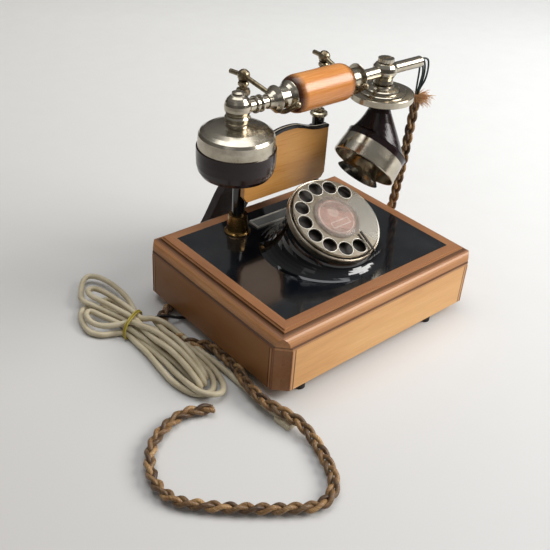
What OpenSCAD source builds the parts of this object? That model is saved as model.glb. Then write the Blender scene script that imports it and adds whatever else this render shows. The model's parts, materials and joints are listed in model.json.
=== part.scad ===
// Desk telephone on a wooden base: a tilted rotary dial, a handset with a wooden grip that lies in two
// sprung hooks, and a bell and a dial mechanism inside. Millimetres, +X right, +Y back, +Z up.
// Origin: centre of the plane that the feet stand on.

/* [Base] */
// Width of the wooden base
base_w = 230; // [226:1:236]
// Depth of the wooden base
base_d = 185; // [182:1:190]
// Height of the wooden base without its feet
base_h = 53.4; // [52:0.2:56]
// Height of the rubber feet
foot_h = 9; // [8.8:0.2:11]
// Length cut off each upright corner
corner_cut = 10.7; // [8:0.1:12]
// Thickness of the boards of the case
wall_t = 10; // [8:0.5:11]

/* [Posts and cradle] */
// Half of the distance between the posts
post_x = 44; // [43.5:0.5:45]
// Distance of the posts behind the middle of the base
post_y = 53; // [52.5:0.5:54]
// Outer radius of a post
post_r = 5.6; // [5.2:0.1:5.7]
// Height of the top of a post above the table
post_top = 152.5; // [150:0.5:154]
// Radius of the rods that rise in the posts
stem_r = 3; // [2.6:0.1:3.1]
// Radius of the wire that a hook is bent from
hook_r = 2; // [1.6:0.1:2.1]
// How far the cradle rises when the handset is lifted
cradle_travel = 6; // [4:0.5:8]

/* [Dial] */
// Tilt of the dial towards the user, in degrees
dial_tilt = 27.5; // [25:0.5:29]
// Radius of the circle on which the finger holes lie
hole_circle_r = 31.3; // [31:0.1:31.6]
// Radius of a finger hole
finger_r = 6.2; // [5.6:0.1:6.3]
// Angle between neighbouring finger holes
hole_step = 26.2; // [25.5:0.1:26.4]

/* [Handset] */
// Height of the handset tube above the table
tube_z = 200.2; // [200:0.1:200.4]
// Outer radius of the handset tube
tube_r = 5; // [4.6:0.1:5.2]
// Radius of the wooden grip
grip_r = 15.3; // [14:0.1:16]
// Distance of the earpiece from the middle
ear_x = -81.5; // [-83:0.5:-80]
// Distance of the mouthpiece from the middle
mouth_x = 77.4; // [76.4:0.2:78.4]

/* [Cords] */
// Diameter of the plaited handset cord
plait_d = 8; // [7:0.5:8]
// Width of the white line cord
line_d = 5; // [4:0.5:5]

/* [Hidden] */
$fn = 64;

// Case: boards between four corner posts, with a mitred moulding on top
half_w = base_w / 2;
half_d = base_d / 2;
deck_z = foot_h + base_h;
mould_h = 13.9;
lip_z = deck_z - mould_h;
post_leg = 14;
board_h = lip_z - foot_h;
plate_in = 19.55;
plate_t = 2.5;
ledge = 6;
floor_t = 4;
floor_top = foot_h + floor_t;
foot_r = 4.5;
foot_spots = [[-86, -85], [66, -85], [-86, 85], [86, 85]];
screw_spots = [[-98, -60], [-98, 60], [98, -60], [98, 60]];
screw_r = 1.6;
lead_hole = [-92, 34];

// Running clearance of rods and shafts in their bores
run = 0.05;

// Cradle
crossbar_z = 36;
crossbar_h = 5;
stem_low = 28;
ball_r = 5.2;
ball_z = 206;
hook_toe = 7.1;

// Handset
tube_y = 12.3;
tube_left = -78;
tube_right = 122;
tube_bore = 3.4;
sleeve_r = 8.6;

// Dial, in a frame whose Z axis is the dial's own axis
dial_y = -21.9;
dial_z = 94.6;
first_hole = 37.9;
wheel_r = 39.3;
wheel_top = 4.5;
wheel_t = 1.2;
shaft_r = 3;
gear_teeth = 48;
pinion_teeth = 12;
gear_module = 0.75;
gear_gap = (gear_teeth + pinion_teeth) * gear_module / 2;
gear_z = -12;
stop_x = 9.3;

// Mouthpiece, in a frame whose Z axis points out of the horn
mouth_tilt = 46;
mouth_swing = 185;
mouth_z = 126;

// Routes of the cords, chosen by hand
plait_route = [[125, 12, 168], [126, 13, 152], [126, 14, 134], [126, 15, 114], [127, 17, 94],
    [128, 20, 72], [129, 23, 50], [130, 29, 28], [130, 41, 12], [129, 58, 5], [125, 78, 5],
    [114, 98, 4.8], [90, 105, 5], [62, 107, 5], [34, 106, 5], [6, 105, 5], [-22, 104, 5],
    [-46, 99, 5], [-64, 86, 4.6], [-82, 72, 4.5], [-100, 64, 4.5], [-113, 59, 4.5], [-129, 48, 4.5],
    [-133, 26, 4.5], [-128, 7, 4.5], [-119, -4, 4.5], [-116, -17, 4.5], [-116, -31, 4.5],
    [-118, -45, 6], [-124, -59, 9.5], [-127, -75, 9.9], [-127.5, -91, 9.9], [-123.5, -109, 9.9],
    [-120, -124, 8.2], [-121, -141, 5], [-127, -159, 5], [-134, -174, 5], [-144, -184, 5],
    [-158, -187, 5], [-172, -180, 5], [-190, -167, 5], [-205, -155, 5], [-220, -141, 5],
    [-232, -127, 5], [-236, -110, 5], [-231, -91, 5], [-218, -74, 5], [-200, -64, 5],
    [-180, -61, 5], [-160, -69, 5]];
wire_routes = [
    [[122, 14, 201], [127, 14, 200], [131, 14, 192], [131, 14, 182], [127, 13, 174], [125.5, 13, 168.8]],
    [[122, 11, 202], [126, 9, 201], [129, 8, 194], [129, 9, 184], [126, 11, 175], [125, 11, 168.8]],
    [[122, 12, 198], [124, 12, 197], [126, 12, 192], [126, 12, 184], [125, 12, 176], [124, 12, 168.8]]];
lead_route = [[-92, 34, 9], [-94, 35, 5], [-100, 37, 3], [-108, 39, 2.5], [-116, 41, 4], [-124, 43, 8.5],
    [-132, 46, 10.5], [-139, 50, 10]];
tail_route = [[-137, -14, 4], [-133, -28, 3], [-129, -44, 2.6], [-127, -60, 2.6], [-126, -76, 2.6],
    [-125, -92, 2.6], [-124, -103, 2.6]];
wire_r = 1;
lead_r = 1.4;
plug_size = [9, 15, 4.4];

// Unit vector, cross product frame and sweep of a round tube along a route, as one closed polyhedron
function unit(v) = v / norm(v);
function spline(p, i, t) =
    let (a = p[max(i - 1, 0)], b = p[i], c = p[i + 1], d = p[min(i + 2, len(p) - 1)])
    0.5 * ((2 * b) + (c - a) * t + (2 * a - 5 * b + 4 * c - d) * t * t
        + (3 * b - a - 3 * c + d) * t * t * t);
function smooth_route(p, steps) = [for (i = [0:len(p) - 2], s = [0:steps - 1]) spline(p, i, s / steps),
    p[len(p) - 1]];
function tangent(p, i) = unit(p[min(i + 1, len(p) - 1)] - p[max(i - 1, 0)]);
function carried(up, t) = unit(up - (up * t) * t);
function frames(p, i = 0, up = [0.1, 1, 0.2]) = i >= len(p) ? []
    : let (t = tangent(p, i), u = carried(up, t)) concat([[u, cross(t, u)]], frames(p, i + 1, u));

module swept_tube(p, r, sides) {
    f = frames(p);
    n = len(p);
    points = [for (i = [0:n - 1], k = [0:sides - 1])
        p[i] + r * cos(360 * k / sides) * f[i][0] + r * sin(360 * k / sides) * f[i][1]];
    walls = [for (i = [0:n - 2], k = [0:sides - 1])
        [i * sides + k, i * sides + (k + 1) % sides, (i + 1) * sides + (k + 1) % sides, (i + 1) * sides + k]];
    ends = [[for (k = [sides - 1:-1:0]) k], [for (k = [0:sides - 1]) (n - 1) * sides + k]];
    polyhedron(points, concat([for (w = walls) [w[3], w[2], w[1], w[0]]],
        [for (e = ends) [for (k = [len(e) - 1:-1:0]) e[k]]]), convexity = 10);
}

// A closed shell lofted through rings of points that all have the same count
module lofted(rings) {
    n = len(rings[0]);
    m = len(rings);
    points = [for (r = rings, p = r) p];
    walls = [for (i = [0:m - 2], k = [0:n - 1])
        [i * n + k, i * n + (k + 1) % n, (i + 1) * n + (k + 1) % n, (i + 1) * n + k]];
    polyhedron(points, concat([for (w = walls) [w[3], w[2], w[1], w[0]]],
        [[for (k = [0:n - 1]) k]], [[for (k = [n - 1:-1:0]) (m - 1) * n + k]]), convexity = 6);
}

module tube(r_out, r_in, h) {
    difference() {
        cylinder(r = r_out, h = h);
        translate([0, 0, -1]) cylinder(r = r_in, h = h + 2);
    }
}

module both_posts() {
    for (side = [-1, 1]) translate([side * post_x, post_y, 0]) children();
}

module dial_frame() {
    translate([0, dial_y, dial_z]) rotate([dial_tilt, 0, 0]) children();
}

module along_tube(x) {
    translate([x, tube_y, tube_z]) rotate([0, 90, 0]) children();
}

module mouth_frame() {
    translate([mouth_x, tube_y, mouth_z]) rotate([0, 0, mouth_swing]) rotate([0, 180 - mouth_tilt, 0]) children();
}

// Plan of the base with its corners cut off
module base_plan(inset = 0) {
    w = half_w - inset;
    d = half_d - inset;
    c = corner_cut - inset * (2 - sqrt(2));
    polygon([[-w + c, -d], [w - c, -d], [w, -d + c], [w, d - c], [w - c, d], [-w + c, d], [-w, d - c], [-w, -d + c]]);
}

// ---- Case ----
module long_board(side) {
    length = base_w - 2 * post_leg;
    y = side < 0 ? -half_d : half_d - wall_t;
    translate([-length / 2, y, foot_h]) cube([length, wall_t, board_h]);
}

module front_board() {
    color("peru") long_board(-1);
}

module rear_board() {
    color("peru") long_board(1);
}

module side_boards() {
    length = base_d - 2 * post_leg;
    color("peru")
        for (x = [-half_w, half_w - wall_t])
            translate([x, -length / 2, foot_h]) cube([wall_t, length, board_h]);
}

module corner_posts() {
    color("sienna")
        intersection() {
            translate([0, 0, foot_h]) linear_extrude(board_h) base_plan();
            for (sx = [-1, 1], sy = [-1, 1])
                translate([sx * (half_w - post_leg / 2), sy * (half_d - post_leg / 2), foot_h + board_h / 2])
                    cube([post_leg, post_leg, board_h], center = true);
        }
}

// Half outline of the moulding: lip bead, groove, quarter round, groove, step and flat top
round_in = 8.2;
function mould_half() = concat(
    [[0, 0], [0, 2.2], [1.3, 2.7]],
    [for (a = [0:15:90]) [round_in - 6.9 * cos(a), 3.3 + 7.7 * sin(a)]],
    [[9.7, 11], [9.7, 12.7], [11.2, 12.7], [11.2, mould_h]]);

module mould_section(half) {
    p = mould_half();
    right = [for (q = p) [half - q[0], q[1]]];
    left = [for (i = [len(p) - 1:-1:0]) [-half + p[i][0], p[i][1]]];
    polygon(concat(right, left));
}

module top_moulding() {
    open_w = base_w - 2 * plate_in;
    open_d = base_d - 2 * plate_in - 0.4;
    color("sienna")
        difference() {
            intersection() {
                translate([0, 0, lip_z]) rotate([90, 0, 0])
                    linear_extrude(base_d + 2, center = true) mould_section(half_w);
                translate([0, 0, lip_z]) rotate([90, 0, 90])
                    linear_extrude(base_w + 2, center = true) mould_section(half_d);
                translate([0, 0, lip_z - 1]) linear_extrude(mould_h + 2) base_plan();
            }
            translate([-open_w / 2, -open_d / 2, deck_z - plate_t]) cube([open_w, open_d, plate_t + 1]);
            translate([-open_w / 2 + ledge, -open_d / 2 + ledge, lip_z - 1])
                cube([open_w - 2 * ledge, open_d - 2 * ledge, mould_h + 2]);
        }
}

module bottom_board() {
    in_w = half_w - wall_t - 0.1;
    in_d = half_d - wall_t - 0.1;
    color("saddlebrown")
        difference() {
            translate([-in_w, -in_d, foot_h]) cube([2 * in_w, 2 * in_d, floor_t]);
            for (sx = [-1, 1], sy = [-1, 1])
                translate([sx * half_w, sy * half_d, foot_h + floor_t / 2])
                    cube([2 * post_leg + 0.2, 2 * post_leg + 0.2, floor_t + 1], center = true);
            translate([lead_hole[0], lead_hole[1], foot_h - 1]) cylinder(r = 3, h = floor_t + 2);
            for (s = screw_spots) translate([s[0], s[1], foot_h - 1]) cylinder(r = screw_r, h = floor_t + 2);
        }
}

module bottom_screws() {
    color("silver")
        for (s = screw_spots)
            translate([s[0], s[1], foot_h]) {
                cylinder(r = screw_r, h = floor_t);
                translate([0, 0, floor_t]) cylinder(r = 3, h = 2);
            }
}

module feet() {
    color("dimgray")
        for (s = foot_spots) translate([s[0], s[1], 0]) cylinder(r = foot_r, h = foot_h);
}

module deck_plate() {
    gap = 0.05;
    w = base_w - 2 * plate_in - 2 * gap;
    d = base_d - 2 * plate_in - 0.4 - 2 * gap;
    color("black")
        difference() {
            translate([-w / 2, -d / 2, deck_z - plate_t]) cube([w, d, plate_t]);
            both_posts() translate([0, 0, deck_z - plate_t - 1]) cylinder(r = post_r + run, h = plate_t + 2);
            translate([0, dial_y + 10.9, deck_z - plate_t - 1]) cylinder(r = 44, h = plate_t + 2);
        }
}

card_w = 53;
card_d = 13.5;
card_y = 52;
module card_frame() {
    rim = 1.2;
    color("silver")
        difference() {
            translate([-card_w / 2, card_y - card_d / 2, deck_z]) cube([card_w, card_d, 1.2]);
            translate([-card_w / 2 + rim, card_y - card_d / 2 + rim, deck_z - 1])
                cube([card_w - 2 * rim, card_d - 2 * rim, 4]);
        }
}

module card_paper() {
    rim = 1.25;
    color("lightgray")
        translate([-card_w / 2 + rim, card_y - card_d / 2 + rim, deck_z])
            cube([card_w - 2 * rim, card_d - 2 * rim, 0.6]);
}

// ---- Posts, panel and stay ----
module posts() {
    low = 50;
    color("black") both_posts() translate([0, 0, low]) tube(post_r, stem_r + run, post_top - low);
}

module post_ferrules() {
    color("darkgoldenrod")
        both_posts() translate([0, 0, deck_z])
            rotate_extrude()
                polygon([[post_r, 0], [11.8, 0], [11.8, 1.1], [10.4, 2.2], [9.9, 3.4], [8.45, 17.5], [post_r, 17.5]]);
}

module post_caps() {
    color("antiquewhite")
        both_posts() translate([0, 0, post_top])
            rotate_extrude()
                polygon([[stem_r + run, 0], [6.6, 0], [7.8, 1], [8.1, 2.2], [7.6, 3.4], [6.2, 4.3], [stem_r + run, 4.3]]);
}

module post_nuts() {
    h = 5;
    color("goldenrod")
        both_posts() translate([0, 0, deck_z - plate_t - h])
            difference() {
                cylinder(r = 9, h = h, $fn = 6);
                translate([0, 0, -1]) cylinder(r = post_r, h = h + 2);
            }
}

panel_y = 42;
panel_t = 5;
panel_half = 47;
panel_low = 95.5;
// Top line of the panel: a broad hump in the middle that falls to level shoulders
function crest(x) = 145 + 8.2 * exp(-pow(abs(x) / 24, 2.6));

module panel_outline(low, rise) {
    xs = [for (x = [-panel_half:3:panel_half]) x];
    last = concat(xs, [panel_half]);
    polygon(concat([for (x = last) [x, crest(x) + rise]],
        [[panel_half, low + 5], [panel_half - 4, low], [-panel_half + 4, low], [-panel_half, low + 5]]));
}

module back_panel() {
    color("peru")
        translate([0, panel_y + panel_t, 0]) rotate([90, 0, 0]) linear_extrude(panel_t) panel_outline(panel_low, 0);
}

module panel_edging() {
    thick = 2.4;
    color("black")
        translate([0, panel_y + panel_t + 0.2, 0]) rotate([90, 0, 0])
            linear_extrude(panel_t + 0.6)
                difference() {
                    panel_outline(130, thick);
                    panel_outline(100, 0);
                    translate([-60, 90]) square([120, 41]);
                }
}

module panel_clamps() {
    h = 8;
    color("dimgray")
        for (z = [108, 134])
            both_posts() translate([0, 0, z])
                difference() {
                    cylinder(r = 8, h = h);
                    translate([0, 0, -1]) cylinder(r = post_r, h = h + 2);
                    translate([-10, -20 - (post_y - panel_y - panel_t), -1]) cube([20, 20, h + 2]);
                }
}

// Side line of the stay, from the table up to the clamps behind the panel
stay_line = [[142, 0], [134, 13], [123, 33], [113.5, 52], [104.5, 69.4], [93, 86], [80, 101], [70, 112], [64, 121],
    [55, 129], [44, 135]];
stay_half = 23;
module rear_stay() {
    thick = 8;
    p = smooth_route([for (q = stay_line) [0, q[0], q[1]]], 2);
    n = len(p);
    function side(i) = let (t = tangent(p, i)) [0, t[2], -t[1]];
    front = [for (i = [0:n - 1]) [p[i][1], p[i][2]]];
    back = [for (i = [n - 1:-1:0]) [p[i][1], p[i][2]] + thick * [side(i)[1], side(i)[2]]];
    color("maroon")
        intersection() {
            rotate([90, 0, 90]) linear_extrude(2 * stay_half, center = true) polygon(concat(front, back));
            translate([-50, panel_y + panel_t, 0]) cube([100, 200, 200]);
        }
}

// ---- Dial ----
housing_base_r = 55.5;
housing_top_r = 41.8;
function housing_ring(t, wall, n) =
    let (out = 1 - pow(1 - t, 1.9), up = pow(t, 1.3), br = housing_base_r - wall, tr = housing_top_r - wall,
        s = sin(dial_tilt), c = cos(dial_tilt), drop = -4)
    [for (k = [0:n - 1])
        let (a = 360 * k / n,
            low = [br * cos(a), dial_y + 10.9 + br * sin(a), deck_z],
            high = [tr * cos(a), dial_y + tr * sin(a) * c - drop * s, dial_z + tr * sin(a) * s + drop * c])
        [low[0] * (1 - out) + high[0] * out, low[1] * (1 - out) + high[1] * out,
            low[2] * (1 - up) + high[2] * up]];

module dial_housing() {
    n = 60;
    steps = 9;
    wall = 2.4;
    function lifted(ring, h) = [for (p = ring) p + h * [0, -sin(dial_tilt), cos(dial_tilt)]];
    outer = [for (i = [0:steps]) housing_ring(i / steps, 0, n)];
    inner = [for (i = [0:steps]) housing_ring(i / steps, wall, n)];
    color("black")
        difference() {
            lofted(outer);
            lofted(concat([[for (p = inner[0]) p - [0, 0, 1]]], inner, [lifted(inner[steps], 1)]));
        }
}

module dial_bezel() {
    color("silver")
        dial_frame() rotate_extrude()
            polygon(concat([[37.5, -4], [42.2, -4], [42.2, 0.4]],
                [for (a = [15:15:90]) [41.1 + 1.1 * cos(a), 0.4 + 1.6 * sin(a)]],
                [[40.2, 1.6], [40.2, -2.2], [37.5, -2.2]]));
}

module dial_face() {
    color("dimgray")
        dial_frame() translate([0, 0, -2.2]) tube(40, shaft_r + run, 1.2);
}

pillar_spots = [30, 150, 270];
plate_z = -9;
module mechanism_plate() {
    plate_h = 1.5;
    cup_z = -24;
    cup_r = 9.5;
    color("gold")
        dial_frame() {
            difference() {
                translate([0, 0, plate_z]) cylinder(r = 34, h = plate_h);
                translate([0, 0, plate_z - 1]) cylinder(r = shaft_r + run, h = plate_h + 2);
                translate([0, gear_gap, plate_z - 1]) cylinder(r = 1.2 + run, h = plate_h + 2);
            }
            for (a = pillar_spots)
                rotate(a) translate([28, 0, plate_z + plate_h]) cylinder(r = 2, h = -2.2 - plate_z - plate_h);
            translate([0, gear_gap, cup_z])
                difference() {
                    cylinder(r = cup_r, h = 8);
                    translate([0, 0, 1]) cylinder(r = cup_r - 1, h = 9);
                }
            translate([-3, gear_gap + cup_r - 1, cup_z]) cube([6, 1.8, plate_z - cup_z]);
            translate([-3, gear_gap + cup_r - 4.2, plate_z - 1.5]) cube([6, 5, 1.5]);
        }
}

// Thin blade that stands over the edge of the wheel
module finger_stop() {
    reach = 22;
    rise = 7.4;
    color("darkslategray")
        dial_frame() {
            translate([stop_x, -42.1, rise - 1.2]) cube([1.6, 42.1 - reach + 1, 1.2]);
            translate([stop_x, -42.1, 1.8]) cube([1.6, 1.9, rise - 1.8]);
        }
}

module finger_wheel() {
    edge = 0.4;
    color("darkgray")
        dial_frame()
            difference() {
                rotate_extrude()
                    polygon([[shaft_r, wheel_top - wheel_t], [wheel_r - 1.2, wheel_top - wheel_t],
                        [wheel_r - 1.2, wheel_top - 3.4], [wheel_r, wheel_top - 3.4],
                        [wheel_r, wheel_top - edge], [wheel_r - edge, wheel_top], [shaft_r, wheel_top]]);
                for (i = [0:9])
                    rotate(first_hole + i * hole_step) translate([hole_circle_r, 0, 0]) {
                        cylinder(r = finger_r, h = 10);
                        translate([0, 0, wheel_top - 0.7]) cylinder(r1 = finger_r, r2 = finger_r + 0.75, h = 0.71);
                    }
            }
}

module dial_shaft() {
    color("silver")
        dial_frame() {
            translate([0, 0, -22]) cylinder(r = shaft_r, h = wheel_top + 22);
            translate([0, 0, wheel_top - wheel_t - 1.4]) tube(9, shaft_r - 0.5, 1.4);
        }
}

// Gear with straight-sided teeth that leave room for the meshing gear
module gear_outline(teeth, bore) {
    r = teeth * gear_module / 2;
    tip = r + 0.8 * gear_module;
    root = r - 1.1 * gear_module;
    pitch = 360 / teeth;
    difference() {
        polygon([for (i = [0:teeth - 1], q = [[root, -0.30], [tip, -0.11], [tip, 0.11], [root, 0.30]])
            let (a = (i + q[1]) * pitch) [q[0] * cos(a), q[0] * sin(a)]]);
        circle(r = bore);
    }
}

module dial_gear() {
    color("gold")
        dial_frame() translate([0, 0, gear_z]) rotate(90) linear_extrude(1.6) gear_outline(gear_teeth, shaft_r);
}

card_r = 17.5;
module centre_card() {
    color("rosybrown")
        dial_frame() translate([0, 0, wheel_top]) cylinder(r = card_r, h = 0.5);
}

module centre_cap() {
    color("gainsboro", 0.5)
        dial_frame() translate([0, 0, wheel_top])
            difference() {
                rotate_extrude()
                    polygon([[0, 0], [21.2, 0], [21.2, 1.3], [20.2, 2.2], [17, 2.6], [0, 2.8]]);
                translate([0, 0, -1]) cylinder(r = card_r + 0.1, h = 1.5);
            }
}

module governor_rotor() {
    color("gold")
        dial_frame() translate([0, gear_gap, 0]) {
            translate([0, 0, -22.8]) cylinder(r = 1.2, h = 18);
            translate([0, 0, gear_z]) rotate(270 + 180 / pinion_teeth)
                linear_extrude(1.6) gear_outline(pinion_teeth, 0.6);
            translate([0, 0, -20])
                difference() {
                    cylinder(r = 7.6, h = 3);
                    for (s = [-1, 1]) translate([s * 10, 0, 1.5]) cube([13, 20, 5], center = true);
                }
        }
}

// ---- Cradle ----
module cradle_crossbar() {
    color("silver")
        difference() {
            translate([-post_x - 9, post_y - 6, crossbar_z]) cube([2 * post_x + 18, 12, crossbar_h]);
            both_posts() translate([0, 0, crossbar_z - 1]) cylinder(r = stem_r, h = crossbar_h + 2);
        }
}

module stems() {
    flange = post_top + 4.6;
    top = ball_z - 4;
    color("silver")
        both_posts()
            rotate_extrude()
                polygon([[0, stem_low], [stem_r, stem_low], [stem_r, flange], [4.6, flange],
                    [4.6, flange + 1.8], [stem_r, flange + 2.4], [stem_r, 187], [4.2, 188], [4.2, 189.6],
                    [5.4, 190.2], [6, 191.6], [6, 193.2], [5.2, 195], [3.6, 195.8], [3.2, 197],
                    [4.5, 198.4], [4.5, 200], [3.6, 201], [4.2, top], [0, top]]);
}

// Hook bent from round wire: level through the ball, down, under the tube and up to a small knob.
// Its line lies in the YZ plane of its own toed-in frame, whose origin is the middle of the ball.
tip_r = 2.7;
bow_r = 11;
bow_mid = [-40.9, tube_z - ball_z];
bow_from = -22;
bow_to = -128;
hook_back = [15.5, -0.6];
hook_bend = [-27.5, -6.1];
hook_tip = [-58.3, -6.2];
function on_bow(a) = bow_mid + bow_r * [cos(a), sin(a)];
function between(a, b, t) = a + t * (b - a);
// Stations along the wire: each is [y, z] and the radius there
function hook_stations() =
    let (ball_in = asin(hook_r / ball_r), tip_in = asin(hook_r / tip_r), back = unit(hook_back), fore = unit(hook_bend),
        rise = unit(hook_tip - on_bow(bow_to)))
    concat(
        [[hook_back, hook_r - 0.6], [hook_back - 0.6 * back, hook_r]],
        [for (a = [ball_in:(90 - ball_in) / 5:89.9]) [ball_r * cos(a) * back, ball_r * sin(a)]],
        [[[0, 0], ball_r]],
        [for (a = [90 - (90 - ball_in) / 5:-(90 - ball_in) / 5:ball_in - 0.1]) [ball_r * cos(a) * fore, ball_r * sin(a)]],
        [for (t = [0.9, 1]) [between([0, 0], hook_bend, t), hook_r]],
        [for (t = [0.3, 0.6]) [between(hook_bend, on_bow(bow_from), t) + [-0.5, 0.9], hook_r]],
        [for (i = [0:8]) [on_bow(bow_from + i * (bow_to - bow_from) / 8), hook_r]],
        [for (a = [tip_in:(90 - tip_in) / 3:179]) [hook_tip - tip_r * cos(a) * rise, max(tip_r * sin(a), 0.15)]]);

module hook() {
    sides = 16;
    stations = hook_stations();
    n = len(stations);
    function place(i) = let (q = stations[i][0]) [0, q[0], q[1]];
    function across(i) = let (t = unit(place(min(i + 1, n - 1)) - place(max(i - 1, 0)))) [0, t[2], -t[1]];
    lofted([for (i = [0:n - 1]) [for (k = [0:sides - 1])
        place(i) + stations[i][1] * (cos(360 * k / sides) * [1, 0, 0] + sin(360 * k / sides) * across(i))]]);
}

module placed_hook(side) {
    translate([side * post_x, post_y, ball_z]) rotate([0, 0, -side * hook_toe]) hook();
}

module left_hook() {
    color("silver") placed_hook(-1);
}

module right_hook() {
    color("silver") placed_hook(1);
}

module cradle_springs() {
    color("gray") both_posts() translate([0, 0, floor_top]) tube(5.4, 3.7, crossbar_z - floor_top);
}

module hook_switch() {
    block_x = 10;
    color("ivory")
        translate([block_x - 7, post_y + 9, floor_top]) cube([14, 8, 16]);
    color("goldenrod")
        for (i = [0:2])
            translate([block_x - 3, post_y - 2 - i, floor_top + 16 + i * 1.6]) cube([6, 19 + i, 0.5]);
    color("ivory")
        translate([block_x - 3, post_y + 9, floor_top + 16]) cube([6, 8, 5.5]);
}

// ---- Handset ----
module handset_tube() {
    color("silver") along_tube(tube_left) tube(tube_r, tube_bore, tube_right - tube_left);
}

module handset_grip() {
    full = 23;
    end = 31;
    drop = 4.6;
    color("peru")
        along_tube(0) rotate_extrude()
            polygon(concat([[tube_r, -end], [grip_r - drop, -end]],
                [for (a = [0:15:90]) [grip_r - drop + drop * sin(a), -full - (end - full) * cos(a)]],
                [for (a = [90:-15:0]) [grip_r - drop + drop * sin(a), full + (end - full) * cos(a)]],
                [[grip_r - drop, end], [tube_r, end]]));
}

// Turned rings on the tube; z runs to the right along the tube
module handset_rings() {
    color("silver")
        along_tube(0) {
            rotate_extrude()
                polygon([[tube_r, -54], [5.8, -54], [6.4, -51], [7.8, -48.4], [10, -46.2], [10.8, -45.4],
                    [10.8, -44.8], [sleeve_r, -44.4], [sleeve_r, -35.6], [10.4, -33.2], [11.8, -31.6],
                    [12, -31], [tube_r, -31]]);
            rotate_extrude()
                polygon([[tube_r, 31], [10.4, 31], [9.4, 32.4], [sleeve_r, 34], [sleeve_r, 42.9],
                    [11.6, 43.1], [11.9, 43.7], [11.4, 44.4], [tube_r, 44.4]]);
            for (x = [-60.5, -65.5])
                rotate_extrude()
                    polygon([[tube_r, x - 1.2], [6, x - 1.2], [6.7, x - 0.6], [6.7, x + 0.6], [6, x + 1.2],
                        [tube_r, x + 1.2]]);
        }
}

module earpiece_knuckle() {
    knob_r = 10.4;
    centre = 202;
    color("silver")
        difference() {
            translate([ear_x, tube_y, 0])
                rotate_extrude()
                    polygon(concat([[0, 189.6], [8.6, 189.6], [9.4, 191.4], [9.9, 194.4], [8.9, 195.6]],
                        [for (a = [-36:12:60]) [knob_r * cos(a), centre + knob_r * sin(a)]],
                        [[5.2, 211.8], [4.8, 213.2], [2.6, 214], [0, 214.1]]));
            along_tube(tube_left) cylinder(r = tube_r, h = 40);
        }
}

module earpiece_bell() {
    wall = 1.2;
    color("silver")
        translate([ear_x, tube_y, 0])
            rotate_extrude()
                polygon([[0, 188], [10, 188], [13, 187.2], [20, 185.9], [25, 184.3], [28, 182.2], [29.4, 180],
                    [29.8, 176], [30, 170], [30 - wall, 170], [29.8 - wall, 176], [28.2, 179.8],
                    [27, 181.2], [24.4, 183], [20, 184.6], [13, 185.8], [10, 186.4], [0, 186.4]]);
    color("silver")
        translate([ear_x, tube_y, 188]) cylinder(r = 8.6, h = 1.6);
}

// Moulded ear cap with a dished face and seven holes
module earpiece_cap() {
    color("black")
        translate([ear_x, tube_y, 0])
            difference() {
                rotate_extrude()
                    polygon([[0, 149], [8, 148.4], [14, 146.8], [18, 146], [24, 146.2], [27.4, 148], [29.6, 151.4],
                        [30.7, 156], [31, 162], [31, 170], [28.4, 170], [28.4, 177], [26.4, 177], [26.4, 151.6],
                        [0, 151.6]]);
                translate([0, 0, 140]) cylinder(r = 1.6, h = 20);
                for (a = [0:60:300]) rotate(a) translate([6, 0, 140]) cylinder(r = 1.6, h = 20);
            }
}

module earpiece_capsule() {
    color("gray")
        translate([ear_x, tube_y, 151.6]) {
            cylinder(r = 26.2, h = 3);
            translate([0, 0, 3]) cylinder(r = 21, h = 13);
        }
}

module mouthpiece_knuckle() {
    color("silver")
        difference() {
            translate([mouth_x, tube_y, 0])
                rotate_extrude()
                    polygon([[0, 177.2], [4, 177.2], [4, 188.7], [7.4, 188.7], [8.6, 190.2], [8.2, 191.8],
                        [7.9, 193], [8.6, 195.6], [10.2, 198], [10.9, 201], [10.2, 204.4], [8.4, 206.8], [6.2, 207.8],
                        [2.65, 208], [2.65, 206.2], [0, 206.2]]);
            along_tube(mouth_x - 30) cylinder(r = tube_r, h = 60);
        }
}

module clamp_knob() {
    knob_r = 7;
    teeth = 16;
    color("silver")
        translate([mouth_x, tube_y, 0])
            difference() {
                union() {
                    translate([0, 0, 206.4]) cylinder(r = 2.6, h = 2.6);
                    translate([0, 0, 208.3]) cylinder(r = knob_r, h = 3);
                }
                for (i = [0:teeth - 1])
                    rotate(360 * i / teeth) translate([knob_r + 0.3, 0, 208]) cylinder(r = 0.7, h = 6, $fn = 16);
                translate([-8, -0.6, 210.3]) cube([16, 1.2, 2]);
            }
}

module mouthpiece_disc() {
    color("silver")
        translate([mouth_x, tube_y, 0])
            rotate_extrude()
                polygon([[4.05, 176.3], [28, 176.3], [28.3, 176.8], [28.3, 181.6], [27.8, 182.1], [21.6, 182.1],
                    [21.3, 183.2], [20.6, 183.6], [15.6, 183.6], [15.2, 185], [14.2, 185.7], [11, 186.2],
                    [9.4, 187.2], [8.9, 188.4], [4.05, 188.4]]);
}

cone_h = 6.3;
cone_neck = 7.8;
cone_top = 176.3;
mouth_r = 29.7;
mouth_out = [cos(mouth_swing), sin(mouth_swing), 0];
mouth_side = [-sin(mouth_swing), cos(mouth_swing), 0];
mouth_axis = sin(mouth_tilt) * mouth_out - [0, 0, cos(mouth_tilt)];
function cone_ring(centre, r, tilt) =
    let (n = 64, x = -cos(tilt) * mouth_out - [0, 0, sin(tilt)])
    [for (k = [0:n - 1]) centre + r * (cos(360 * k / n) * x + sin(360 * k / n) * mouth_side)];

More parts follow.
